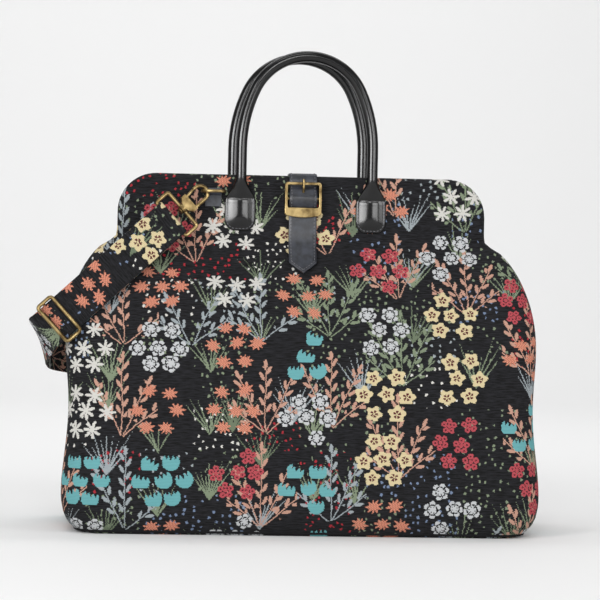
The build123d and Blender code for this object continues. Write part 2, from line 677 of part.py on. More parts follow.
if __name__ == "__main__":
    parts = {}
    parts.update(make_body())
    parts["front_frame"] = make_frame_half(-1, 0)
    parts["rear_frame"] = make_frame_half(1, 1)
    parts["front_jaw_cover"] = make_jaw_cover(-1)
    parts["rear_jaw_cover"] = make_jaw_cover(1)
    parts["left_hinge_rivet"] = make_rivet(-1)
    parts["right_hinge_rivet"] = make_rivet(1)
    handle = make_handle()
    parts["front_handle"] = Pos(HANDLE_SHIFT, 0, 0) * handle
    parts["rear_handle"] = Pos(-HANDLE_SHIFT, 0, 0) * mirror(handle, Plane.XZ)
    parts["closure_strap"] = make_closure_strap()
    parts["buckle_frame"] = make_buckle_frame()
    parts["buckle_tongue"] = make_buckle_tongue()
    parts["buckle_chape"] = make_chape()
    d_ring = make_d_ring()
    d_tab = make_d_tab()
    parts["front_d_ring"] = Pos(FRONT_RING_X, 0, 0) * d_ring
    parts["front_d_ring_tab"] = Pos(FRONT_RING_X, 0, 0) * d_tab
    parts["rear_d_ring"] = Pos(REAR_RING_X, 0, 0) * mirror(d_ring, Plane.XZ)
    parts["rear_d_ring_tab"] = Pos(REAR_RING_X, 0, 0) * mirror(d_tab, Plane.XZ)
    front = front_clip_plane()
    rear = rear_clip_plane()
    for end, plane in (("front", front), ("rear", rear)):
        parts[f"{end}_clip_hook"] = plane * make_clip_hook()
        parts[f"{end}_clip_gate"] = plane * make_clip_gate()
        parts[f"{end}_strap_ring"] = plane * make_end_ring()
    parts["strap_slider"] = front * make_slider()
    parts["strap_front_loop"] = front * make_front_loop()
    parts["strap_rear_loop"] = rear * make_rear_loop()
    parts["shoulder_web"] = make_shoulder_web(front, rear)
    os.makedirs("parts", exist_ok=True)
    for node, shape in parts.items():
        export_step(shape, f"parts/{node}.step")
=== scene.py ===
"""Looks of a tapestry carpet bag with a hinged mouth frame, leather handles and a clip-on shoulder strap."""

import json
import math

import bpy
import numpy as np
from mathutils import Matrix, Vector
from mathutils.bvhtree import BVHTree


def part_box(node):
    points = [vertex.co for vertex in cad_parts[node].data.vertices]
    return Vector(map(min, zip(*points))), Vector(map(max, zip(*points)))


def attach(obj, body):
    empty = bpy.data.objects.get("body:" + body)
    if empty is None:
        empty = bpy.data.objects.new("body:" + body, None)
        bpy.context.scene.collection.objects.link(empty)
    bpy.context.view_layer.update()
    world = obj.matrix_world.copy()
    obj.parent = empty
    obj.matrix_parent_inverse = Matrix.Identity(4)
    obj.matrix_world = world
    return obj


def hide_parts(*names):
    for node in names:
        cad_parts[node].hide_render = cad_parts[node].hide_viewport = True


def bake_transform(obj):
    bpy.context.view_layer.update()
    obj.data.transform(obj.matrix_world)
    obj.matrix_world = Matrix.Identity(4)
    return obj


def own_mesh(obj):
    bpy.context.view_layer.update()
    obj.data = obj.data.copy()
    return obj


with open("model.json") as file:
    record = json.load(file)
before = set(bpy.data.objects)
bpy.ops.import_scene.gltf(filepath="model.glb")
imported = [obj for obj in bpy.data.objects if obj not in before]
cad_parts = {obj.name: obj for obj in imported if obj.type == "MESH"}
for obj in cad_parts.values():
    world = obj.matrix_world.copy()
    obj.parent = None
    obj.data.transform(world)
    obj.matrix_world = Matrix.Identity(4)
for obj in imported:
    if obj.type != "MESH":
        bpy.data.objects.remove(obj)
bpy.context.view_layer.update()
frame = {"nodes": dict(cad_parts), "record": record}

MM = 0.001
JOINTS = {joint["name"]: joint for joint in frame["record"]["behaviour"]["joints"]}

# Body form, from the base to the rim
RIM_Z = 289.5 * MM
CORNER_HEIGHTS = np.array([0, 10, 52, 150, 238, 289.5]) * MM
BODY_CORNERS = np.array([28, 30, 30, 26, 20, 12]) * MM

# Jaw form: round sleeve over the frame tube
TUBE_Z = 348 * MM
SLEEVE_R = 6.4 * MM
SLEEVE_Y = 6.65 * MM
JAW_HALF_WIDTH = 185.4 * MM
JAW_CORNER_R = 38.4 * MM
JAW_TOP_Z = TUBE_Z + SLEEVE_R
JAW_FACE = 13.35 * MM
JAW_START_Z = 296 * MM
CLOTH_LIFT = 0.75 * MM
CREASE_DEPTH = 0.6 * MM
CREASE_REACH = 2.2 * MM
COLUMNS = 96
SIDE_COLUMNS = 10
GUSSET_TUCK = 2.4 * MM
TUCK_LOW_Z = 90 * MM
TUCK_HIGH_Z = 230 * MM
TUCK_END = 22 * MM
CALM_FOOT = 40 * MM
CALM_RIM = 60 * MM
WAVE_HEIGHT = 0.7 * MM
WAVE_LIFT = 0.9 * MM
TURN_BELOW_RIM = 8 * MM
TURN_ABOVE_START = 4 * MM
WEAVE_SHIFT = 3

# Heights of the rows of points, in millimetres
MEASURE_ROWS = (0.2, 1.5, 3, *np.linspace(6, 289, 60))
FOOT_ROWS = (0, 1.5, 4, 8, 13, 20)
FACE_ROWS = np.linspace(30, 286, 44)
JAW_ROWS = (291, 296, 302, 309, 316, 323, 328, 332, 335, 337.5, 339.5, 341.5, 344, 346.5)
SLEEVE_TURNS = np.radians((15, 30, 45, 60, 75, 90))


def link(obj):
    """Adds an object to the scene."""
    bpy.context.scene.collection.objects.link(obj)
    return obj


def inside_out(points, faces):
    """True where a closed form's faces look inwards."""
    volume = 0.0
    for face in faces:
        first = points[face[0]]
        for b, c in zip(face[1:], face[2:]):
            volume += np.dot(first, np.cross(points[b], points[c]))
    return volume < 0


def make_piece(name, points, faces, uvs, material, closed=False):
    """Mesh object from points and faces, with a weave map in metres, one pair for each point."""
    points = np.array(points, dtype=float)
    if closed and inside_out(points, faces):
        faces = [tuple(face)[::-1] for face in faces]
    mesh = bpy.data.meshes.new(name)
    mesh.from_pydata([tuple(p) for p in points], [], [tuple(f) for f in faces])
    mesh.materials.append(material)
    if uvs is not None:
        layer = mesh.uv_layers.new(name="weave")
        for loop in mesh.loops:
            layer.data[loop.index].uv = uvs[loop.vertex_index]
    mesh.polygons.foreach_set("use_smooth", [True] * len(mesh.polygons))
    mesh.update()
    return link(bpy.data.objects.new(name, mesh))


def grid_faces(rows, columns, start=0, flip=False):
    """Quads of a grid of points listed row by row."""
    faces = []
    for row in range(rows - 1):
        for column in range(columns - 1):
            a = start + row * columns + column
            quad = (a, a + 1, a + columns + 1, a + columns)
            faces.append(quad[::-1] if flip else quad)
    return faces


def ease(low, high, value):
    """Smooth step from 0 to 1."""
    t = np.clip((value - low) / (high - low), 0, 1)
    return t * t * (3 - 2 * t)


def run_along(line):
    """Distance along a line of points, for each point."""
    return np.concatenate([[0], np.cumsum(np.linalg.norm(np.diff(line, axis=0), axis=1))])


def ring_faces(rows, count, start=0, capped=False):
    """Quads between rings of points, each ring closed on itself, with both ends filled if capped."""
    faces = []
    for row in range(rows - 1):
        for column in range(count):
            a = start + row * count + column
            b = start + row * count + (column + 1) % count
            faces.append((a, b, b + count, a + count))
    if capped:
        last = start + (rows - 1) * count
        faces.append(tuple(range(start, start + count))[::-1])
        faces.append(tuple(range(last, last + count)))
    return faces


def cad_tree(*nodes):
    """Search tree over the surfaces of CAD nodes."""
    points, faces = [], []
    for node in nodes:
        mesh = frame["nodes"][node].data
        first = len(points)
        points += [v.co[:] for v in mesh.vertices]
        faces += [[first + i for i in p.vertices] for p in mesh.polygons]
    return BVHTree.FromPolygons(points, faces)


def body_half_sizes():
    """Heights up the body with its half width and half depth there, measured on the CAD panels."""
    tree = cad_tree("front_panel", "left_gusset", "right_gusset", "base_panel")
    heights = np.array(MEASURE_ROWS) * MM
    widths, depths = [], []
    for z in heights:
        widths.append(tree.ray_cast(Vector((1, 0, z)), Vector((-1, 0, 0)))[0].x)
        depths.append(-tree.ray_cast(Vector((0, -1, z)), Vector((0, 1, 0)))[0].y)
    return heights, np.array(widths), np.array(depths)


BODY_HEIGHTS, BODY_HALF_WIDTHS, BODY_HALF_DEPTHS = body_half_sizes()


def jaw_width(z):
    """Half width of the jaw's outline at a height."""
    rise = np.clip(z - (JAW_TOP_Z - JAW_CORNER_R), 0, JAW_CORNER_R)
    return JAW_HALF_WIDTH - JAW_CORNER_R + math.sqrt(JAW_CORNER_R**2 - rise**2)


def jaw_depth(x, z):
    """Depth of the jaw's outer face at a place, round over its sleeve."""
    over_x = np.maximum(np.abs(x) - (JAW_HALF_WIDTH - JAW_CORNER_R), 0)
    over_z = np.maximum(z - (JAW_TOP_Z - JAW_CORNER_R), 0)
    inside = JAW_CORNER_R - np.hypot(over_x, over_z)
    away = SLEEVE_R - np.clip(inside, 0, SLEEVE_R)
    under_tube = inside - 2 * SLEEVE_R
    crease = CREASE_DEPTH * np.exp(-((under_tube / CREASE_REACH) ** 2))
    return SLEEVE_Y + np.sqrt(np.maximum(SLEEVE_R**2 - away**2, 0)) + CLOTH_LIFT - crease


def soft_waves(x, z, seed):
    """Gentle hollows and swellings of a stuffed cloth face, in metres."""
    wave = 1.5 * np.sin(21 * x + seed) * np.sin(17 * z + 2 * seed)
    wave += 1.0 * np.sin(43 * x - 31 * z + 3 * seed) + 0.6 * np.sin(67 * x + 53 * z + seed)
    return WAVE_HEIGHT * wave + WAVE_LIFT


def cloth_half(name, side, seed, material):
    """Front (side -1) or rear (side 1) cloth: face, gusset halves and frame sleeve in one sheet."""
    low_rows = np.concatenate([FOOT_ROWS, FACE_ROWS, JAW_ROWS]) * MM
    heights = np.concatenate([low_rows, TUBE_Z + SLEEVE_R * np.sin(SLEEVE_TURNS)])
    spread = np.sin(np.linspace(-1, 1, COLUMNS) * math.pi / 2)
    points, uvs = [], []
    centre_v = 0.0
    last = None
    for z in heights:
        jaw_share = float(ease(RIM_Z - TURN_BELOW_RIM, JAW_START_Z + TURN_ABOVE_START, z))
        low = min(z, RIM_Z)
        width = np.interp(low, BODY_HEIGHTS, BODY_HALF_WIDTHS) + CLOTH_LIFT
        depth = np.interp(low, BODY_HEIGHTS, BODY_HALF_DEPTHS) + CLOTH_LIFT
        corner = np.interp(low, CORNER_HEIGHTS, BODY_CORNERS)
        width = width * (1 - jaw_share) + jaw_width(z) * jaw_share
        x = width * spread
        over = np.clip(np.abs(x) - (width - corner), 0, corner)
        body_y = depth - corner + np.sqrt(corner**2 - over**2)
        calm = ease(0, CALM_FOOT, z) * (1 - ease(RIM_Z - CALM_RIM, RIM_Z, z))
        body_y = body_y + calm * soft_waves(x, z, seed) * (1 - spread**4)
        y = body_y * (1 - jaw_share) + jaw_depth(x, z) * jaw_share
        edge_y = y[0]
        tuck = ease(TUCK_LOW_Z, TUCK_HIGH_Z, z) * (1 - ease(RIM_Z - TUCK_END, RIM_Z, z)) * GUSSET_TUCK
        t = np.linspace(0, 1, SIDE_COLUMNS + 1)[:-1]
        side_y = edge_y * t
        side_x = width - tuck * (1 - t) ** 1.5
        row_x = np.concatenate([-side_x, x, side_x[::-1]])
        row_y = np.concatenate([side_y, y, side_y[::-1]])
        row = np.stack([row_x, side * row_y, np.full_like(row_x, z)], axis=1)
        run = run_along(row)
        run -= np.interp(0, row_x[SIDE_COLUMNS:-SIDE_COLUMNS], run[SIDE_COLUMNS:-SIDE_COLUMNS])
        middle = row[len(row) // 2]
        centre_v += 0 if last is None else float(np.linalg.norm(middle - last))
        last = middle
        points.append(row)
        uvs.extend((u * -side + WEAVE_SHIFT * seed, centre_v) for u in run)
    columns = len(points[0])
    faces = grid_faces(len(heights), columns, flip=side > 0)
    return make_piece(name, np.concatenate(points), faces, uvs, material)


# Shoulder strap: webbing sizes and its route behind the bag, as in the part
WEB_WIDTH = 39 * MM
WEB_THICK = 2.2 * MM
LAYER_Z = 1.7 * MM
RING_BAR = 44 * MM
WRAP_R = 3.3 * MM
SLIDER_DISTANCE = 196.27 * MM
STITCH_END = 26 * MM
SLIDER_EXIT = 6 * MM
LAYER_START = 14 * MM
RING_WIRE_R = 1.6 * MM
CLIP_Y = 24.85 * MM
BACK_SHIFT = 110 * MM
EDGE_TURNS = np.radians((45, 90, 135))
WEB_ROUTE = (
    ((-253.6, -67.8, 196.0), (0.68, 0.00, -0.74)),
    ((-256.8, -58.6, 193.1), (0.68, 0.00, -0.74)),
    ((-259.0, -18.0, 184.0), (0.45, 0.00, -0.89)),
    ((-257.0, 25.0, 177.0), (0.20, 0.02, -0.98)),
    ((-244.0, 70.0, 170.0), (0.00, 0.00, -1.00)),
    ((-200.0, 104.0, 163.0), (-0.05, -0.10, -0.99)),
    ((-128.0, 113.0, 160.0), (0.00, -0.15, -0.99)),
    ((-54.0, 107.0, 168.0), (0.15, -0.25, -0.95)),
    ((14.0, 94.0, 192.0), (0.45, -0.28, -0.84)),
    ((56.0, 76.0, 228.0), (0.72, -0.20, -0.66)),
)


def clip_frame(origin, aim, side):
    """Axes of a clip: along the strap, across it and off the bag, with the origin on the D-ring's wire."""
    along = Vector(aim).normalized()
    across = Vector((0, side, 0)).cross(along).normalized()
    out = along.cross(across)
    turn = Matrix((along, across, out)).transposed().to_4x4()
    return Matrix.Translation(origin) @ turn


def through(points, per_span):
    """Points along a smooth curve through the given points."""
    pts = np.array(points, dtype=float)
    ends = [2 * pts[0] - pts[1], *pts, 2 * pts[-1] - pts[-2]]
    out = []
    for a, b, c, d in zip(ends, ends[1:], ends[2:], ends[3:]):
        for t in np.linspace(0, 1, per_span, endpoint=False):
            square = (2 * a - 5 * b + 4 * c - d) * t**2
            cube = (3 * b - a - 3 * c + d) * t**3
            out.append((2 * b + (c - a) * t + square + cube) / 2)
    out.append(pts[-1])
    return np.array(out)


def ribbon(name, centres, acrosses, material, seed):
    """Webbing of rounded flat section along a line of centres, with the way that its width points."""
    centres = np.array(centres)
    acrosses = np.array(acrosses)
    alongs = np.gradient(centres, axis=0)
    alongs /= np.linalg.norm(alongs, axis=1)[:, None]
    acrosses = acrosses - alongs * np.sum(acrosses * alongs, axis=1)[:, None]
    acrosses /= np.linalg.norm(acrosses, axis=1)[:, None]
    outs = np.cross(alongs, acrosses)
    half, thick = WEB_WIDTH / 2, WEB_THICK / 2
    flat = np.linspace(-1, 1, 9) * (half - thick)
    section = [(w, thick) for w in flat]
    section += [(half - thick + thick * math.sin(t), thick * math.cos(t)) for t in EDGE_TURNS]
    section += [(w, -thick) for w in flat[::-1]]
    section += [(-half + thick - thick * math.sin(t), -thick * math.cos(t)) for t in EDGE_TURNS]
    points, uvs = [], []
    for centre, across, out, place in zip(centres, acrosses, outs, run_along(centres)):
        for wide, high in section:
            points.append(centre + across * wide + out * high)
            uvs.append((wide + (BACK_SHIFT if high < 0 else 0) + seed, place))
    faces = ring_faces(len(centres), len(section), capped=True)
    return make_piece(name, points, faces, uvs, material, closed=True)


def hairpin(upper_reach, lower_reach):
    """Side view of a strap end folded round its ring: upper layer in, round the bar, lower layer out."""
    turn = np.radians(np.linspace(90, 270, 11))
    bend = [(RING_BAR + WRAP_R * math.cos(t), WRAP_R * math.sin(t)) for t in turn]
    entry = np.linspace(upper_reach, RING_BAR + LAYER_START, 12)
    leave = np.linspace(RING_BAR + LAYER_START, lower_reach, 12)
    return [(x, LAYER_Z) for x in entry] + bend + [(x, -LAYER_Z) for x in leave]


def strap_pieces(front, rear, material):
    """Front end, long run and rear end of the shoulder strap."""
    across = front.to_3x3() @ Vector((0, 1, 0))
    line = [front @ Vector((x, 0, z)) for x, z in hairpin(SLIDER_DISTANCE + SLIDER_EXIT, SLIDER_DISTANCE)]
    front_end = ribbon("strap_front_end", line, [across] * len(line), material, seed=0.3)
    back = rear.to_3x3() @ Vector((0, 1, 0))
    line = [rear @ Vector((x, 0, z)) for x, z in hairpin(RING_BAR + STITCH_END, RING_BAR + STITCH_END)]
    rear_end = ribbon("strap_rear_end", line, [back] * len(line), material, seed=1.1)
    start = front @ Vector((SLIDER_DISTANCE + SLIDER_EXIT, 0, LAYER_Z))
    finish = rear @ Vector((RING_BAR + STITCH_END, 0, LAYER_Z))
    places = [start, *(Vector(p) * MM for p, _ in WEB_ROUTE), finish]
    widths = [across, *(Vector(w) for _, w in WEB_ROUTE), -back]
    route, turns = through(places, per_span=10), through(widths, per_span=10)
    long_run = ribbon("strap_long_run", route, turns, material, seed=0.7)
    return front_end, long_run, rear_end


class Val:
    """A number in a material's node tree, with ordinary arithmetic."""

    def __init__(self, tree, socket):
        self.tree = tree
        self.socket = socket

    def math(self, operation, *others):
        node = self.tree.nodes.new("ShaderNodeMath")
        node.operation = operation
        for place, value in enumerate((self, *others)):
            if isinstance(value, Val):
                self.tree.links.new(value.socket, node.inputs[place])
            else:
                node.inputs[place].default_value = value
        return Val(self.tree, node.outputs[0])

    def __add__(self, other):
        return self.math("ADD", other)

    def __sub__(self, other):
        return self.math("SUBTRACT", other)

    def __mul__(self, other):
        return self.math("MULTIPLY", other)

    def __truediv__(self, other):
        return self.math("DIVIDE", other)

    def __lt__(self, other):
        return self.math("LESS_THAN", other)

    def __gt__(self, other):
        return self.math("GREATER_THAN", other)

    def __abs__(self):
        return self.math("ABSOLUTE")

    def floor(self):
        return self.math("FLOOR")

    def cos(self):
        return self.math("COSINE")

    def power(self, exponent):
        return self.math("POWER", exponent)

    def equals(self, number):
        return self.math("COMPARE", number, 0.5)

    def either(self, other):
        return self.math("MAXIMUM", other)

    def clamped(self, low, high):
        return self.math("MAXIMUM", low).math("MINIMUM", high)


def length(x, y):
    """Distance of a point from the origin."""
    return (x * x + y * y).math("SQRT")


def chances(tree, x, y, seed):
    """Three random numbers from 0 to 1 that belong to a grid cell."""
    place = tree.nodes.new("ShaderNodeCombineXYZ")
    tree.links.new(x.socket, place.inputs[0])
    tree.links.new(y.socket, place.inputs[1])
    place.inputs[2].default_value = seed
    noise = tree.nodes.new("ShaderNodeTexWhiteNoise")
    noise.noise_dimensions = "3D"
    tree.links.new(place.outputs[0], noise.inputs["Vector"])
    split = tree.nodes.new("ShaderNodeSeparateColor")
    tree.links.new(noise.outputs["Color"], split.inputs[0])
    return [Val(tree, split.outputs[channel]) for channel in range(3)]


def steps(tree, chance, colours):
    """One colour out of a list, chosen by a random number."""
    ramp = tree.nodes.new("ShaderNodeValToRGB")
    ramp.color_ramp.interpolation = "CONSTANT"
    stops = ramp.color_ramp.elements
    stops.remove(stops[1])
    stops[0].color = (*colours[0], 1)
    for place, colour in list(enumerate(colours))[1:]:
        stops.new(place / len(colours)).color = (*colour, 1)
    tree.links.new(chance.socket, ramp.inputs[0])
    return ramp.outputs[0]


def painted(tree, under, over, mask):
    """Colour over wherever mask is 1, else colour under."""
    mix = tree.nodes.new("ShaderNodeMix")
    mix.data_type = "RGBA"
    tree.links.new(mask.socket, mix.inputs["Factor"])
    for name, colour in (("A", under), ("B", over)):
        place = [i for i in mix.inputs if i.name == name and i.type == "RGBA"][0]
        if isinstance(colour, tuple):
            place.default_value = (*colour, 1)
        else:
            tree.links.new(colour, place)
    return [o for o in mix.outputs if o.type == "RGBA"][0]


def srgb(red, green, blue):
    """Linear colour of an 8-bit screen colour."""
    out = []
    for channel in (red, green, blue):
        share = channel / 255
        out.append(share / 12.92 if share < 0.04045 else ((share + 0.055) / 1.055) ** 2.4)
    return tuple(out)


TEAL = srgb(104, 168, 172)
CREAM = srgb(214, 198, 156)
CORAL = srgb(216, 142, 116)
PINK = srgb(186, 78, 86)
WHITE = srgb(208, 206, 200)
SILVER = srgb(196, 198, 200)
BLUSH = srgb(186, 144, 126)
SAGE = srgb(122, 134, 110)
MIST = srgb(150, 158, 162)
BLUE = srgb(112, 128, 156)
RED = srgb(160, 40, 50)
MAROON = srgb(82, 20, 30)
PITCH = srgb(8, 8, 9)
GROUND = srgb(33, 33, 37)
BLOOMS = (CREAM, WHITE, TEAL, CORAL, PINK, SILVER)
SPRIGS = (BLUSH, BLUSH, SAGE, BLUSH, MIST)
GRASSES = (SAGE, srgb(104, 116, 94), SAGE, MIST)
DOTS = (SAGE, WHITE, BLUE, SAGE, RED, MIST)

# Picks and motifs of the weave, in millimetres
PICK_WIDE = 0.9
PICK_TALL = 0.7
HEAD_STEP = (20.5, 17.5)
HEAD_LEAST_R = 8.6
HEAD_MORE_R = 1.6
HEAD_SHIFT = (4.5, 4.0)
BUNCH_SHIFT = (7, 4)
BUNCH_HALF_WIDTH = 25
STEM_HALF_WIDTH = 0.55
LEAF_STEP = 12.5
LEAF_OUT = 3.5
LEAF_HALF_SIZE = (4.6, 1.7)
TIP_HALF_SIZE = (4.8, 1.8)
SPRIG_SHIFT = 6
DOT_CELL = (7.4, 6.6)
DOT_SHIFT = (5.0, 3.6)
PATCH_CELL = (52, 44)

# Angles between the branches of a sprig and the blades of a tuft, in radians
SPRIG_TURN = 0.44
BLADE_TURN = 0.17


def saw(value):
    """Zigzag from 0 to 1 and back, once for each whole step of value."""
    return abs(value.math("FRACT") - 0.5) * 2


def cells(tree, u, v, wide, tall, seed):
    """Column and row of a cell in strips that slide against each other, and the place inside it."""
    column = (u / wide).floor()
    slid = v / tall + chances(tree, column, column * 0.31, seed)[0]
    row = slid.floor()
    return column, row, u - (column + 0.5) * wide, (slid - row - 0.5) * tall


def head_masks(x, y, kind):
    """Flower head of one of six kinds inside a circle of radius 1: its form and its dark marks."""
    turn = x.math("ARCTAN2", y)
    reach = length(x, y)
    wild_rose = reach < (turn * 5).cos() * 0.15 + 0.80
    rose_heart = (reach < 0.40) * (abs((turn * 2.5).cos()) > 0.55) * (reach > 0.10)
    daisy = reach < abs((turn * 3.5).cos()).power(1.4) * 0.76 + 0.22
    bowl = length(x, y + 0.16) < 0.90
    bell = bowl * (y < saw(x * 2.2 + 0.5) * 0.50 + x * x * 0.5 - 0.06)
    ninth = 2 * math.pi / 9
    ragged = length(x, y * 1.3) < saw(turn / ninth) * 0.52 + 0.42
    fifth = 2 * math.pi / 5
    off = turn - (turn / fifth + 0.5).floor() * fifth
    ring_x = reach * off.math("SINE")
    ring_y = reach * off.cos() - 0.56
    pip = length(ring_x, ring_y)
    berries = (pip < 0.31).either(reach < 0.22)
    pips = pip < 0.10
    ruffle = reach < abs((turn * 3).cos()).power(0.6) * 0.32 + 0.58
    folds = (abs((turn * 3).cos()) < 0.30) * (reach > 0.22)
    folds = folds.either((abs(reach - 0.50) < 0.07) * (abs((turn * 3).cos()) > 0.5))
    forms = (wild_rose, daisy, bell, ragged, berries, ruffle)
    form = forms[0] * kind.equals(0)
    for place, other in list(enumerate(forms))[1:]:
        form = form + other * kind.equals(place)
    marks = rose_heart * kind.equals(0) + pips * kind.equals(4) + folds * kind.equals(5)
    return form, marks


def blooms(tree, u, v, under, wide, tall, seed, share):
    """Loose bunches of like flower heads, three over and under two, one bunch in a cell."""
    step_x, step_y = HEAD_STEP
    column, row, x, y = cells(tree, u, v, wide, tall, seed)
    shift_x, shift_y, kind_chance = chances(tree, column, row, seed + 1)
    here = chances(tree, column, row, seed + 2)[0] < share
    kind = (kind_chance * len(BLOOMS)).floor()
    x = x + (shift_x - 0.5) * BUNCH_SHIFT[0]
    y = y + (shift_y - 0.5) * BUNCH_SHIFT[1]
    line = (y / step_y + 0.5).floor()
    across = x / step_x + abs(line) * 0.5
    spot = (across + 0.5).floor()
    off_x, off_y, chance = chances(tree, column * 7.3 + spot, row * 5.1 + line, seed + 3)
    size = chance * HEAD_MORE_R + HEAD_LEAST_R
    near_x = ((across - spot) * step_x + (off_x - 0.5) * HEAD_SHIFT[0]) / size
    near_y = (y - line * step_y + (off_y - 0.5) * HEAD_SHIFT[1]) / size
    lean = (off_x + off_y - 1) * 0.7
    head_x = near_x * lean.cos() - near_y * lean.math("SINE")
    head_y = near_x * lean.math("SINE") + near_y * lean.cos()
    middle = (spot - abs(line) * 0.5) * step_x
    kept = (abs(line) < 1.5) * (abs(middle) < BUNCH_HALF_WIDTH) * (chance > 0.10) * here
    form, marks = head_masks(head_x, head_y, kind)
    pick = (u / PICK_WIDE).floor() + (v / PICK_TALL).floor()
    hatch = (pick.math("FLOORED_MODULO", 3) < 0.5) * (kind.equals(3) + kind.equals(4) * 0.5)
    rib = (v / PICK_TALL).floor().math("FLOORED_MODULO", 2) * 0.16
    colour = steps(tree, (kind + 0.5) / len(BLOOMS), BLOOMS)
    colour = painted(tree, colour, MAROON, hatch * 0.55)
    colour = painted(tree, colour, PITCH, rib)
    dark = steps(tree, (kind + 0.5) / len(BLOOMS), (MAROON, MAROON, PITCH, MAROON, MAROON, PITCH))
    cloth = painted(tree, under, colour, form * kept)
    return painted(tree, cloth, dark, marks * form * kept), form * kept


def sprigs(tree, u, v, under, wide, tall, seed, share):
    """Branches with paired oval leaves that fan out of one root."""
    column, row, x, y = cells(tree, u, v, wide, tall, seed)
    shift, colour_chance, here_chance = chances(tree, column, row, seed + 1)
    here = here_chance < share
    y = y + tall * 0.46
    x = x + (shift - 0.5) * SPRIG_SHIFT
    turn = x.math("ARCTAN2", y)
    spoke = (turn / SPRIG_TURN + 0.5).floor().clamped(-2, 2)
    off = turn - spoke * SPRIG_TURN
    away = length(x, y)
    side = away * off.math("SINE")
    along = away * off.cos()
    more, bend, kept_chance = chances(tree, column + spoke * 0.173, row, seed + 2)
    reach = more * 12 + tall * 0.72 - abs(spoke) * 12
    sway = (along * 0.11 + bend * 6).math("SINE") * 0.7
    stem = (abs(side + sway) < STEM_HALF_WIDTH) * (along < reach) * (along > 2)
    stagger = along / LEAF_STEP + (side > 0) * 0.5 + bend
    pair = (stagger - stagger.floor() - 0.5) * LEAF_STEP
    out = abs(side) - LEAF_OUT
    leaf_x = (pair * 0.88 + out * 0.47) / LEAF_HALF_SIZE[0]
    leaf_y = (out * 0.88 - pair * 0.47) / LEAF_HALF_SIZE[1]
    leaf = (length(leaf_x, leaf_y) < 1) * (along < reach + 1) * (along > 20)
    tip = length((along - reach - 3) / TIP_HALF_SIZE[0], side / TIP_HALF_SIZE[1]) < 1
    form = stem.either(leaf).either(tip) * here * (kept_chance > 0.12)
    return painted(tree, under, steps(tree, colour_chance, SPRIGS), form), form


def grasses(tree, u, v, under, wide, tall, seed, share):
    """Tufts of pointed blades that fan out of one root."""
    column, row, x, y = cells(tree, u, v, wide, tall, seed)
    colour_chance, here_chance = chances(tree, column, row, seed + 1)[1:]
    y = y + tall * 0.42
    turn = x.math("ARCTAN2", y)
    spoke = (turn / BLADE_TURN + 0.5).floor().clamped(-4, 4)
    off = turn - spoke * BLADE_TURN
    away = length(x, y)
    more, kept_chance = chances(tree, column + spoke * 0.173, row, seed + 2)[:2]
    reach = (more * 0.35 + 0.45) * tall
    side = away * off.math("SINE") + (away * 0.12 + more * 6).math("SINE") * 0.5
    blade = abs(side) < (reach - away) / reach * 1.1
    form = blade * (here_chance < share) * (kept_chance > 0.15)
    return painted(tree, under, steps(tree, colour_chance, GRASSES), form), form


def dots(tree, u, v, under, seed, share):
    """Scattered oval seeds in loose patches."""
    column, row, x, y = cells(tree, u, v, *DOT_CELL, seed)
    shift_x, shift_y, size = chances(tree, column, row, seed + 1)
    patch_u, patch_v = (u / PATCH_CELL[0]).floor(), (v / PATCH_CELL[1]).floor()
    here_chance, colour_chance = chances(tree, patch_u, patch_v, seed + 2)[:2]
    x = x + (shift_x - 0.5) * DOT_SHIFT[0]
    y = (y + (shift_y - 0.5) * DOT_SHIFT[1]) * 0.8
    form = (length(x, y) < size + 0.4) * (here_chance < share) * (size > 0.40)
    return painted(tree, under, steps(tree, colour_chance, DOTS), form), form


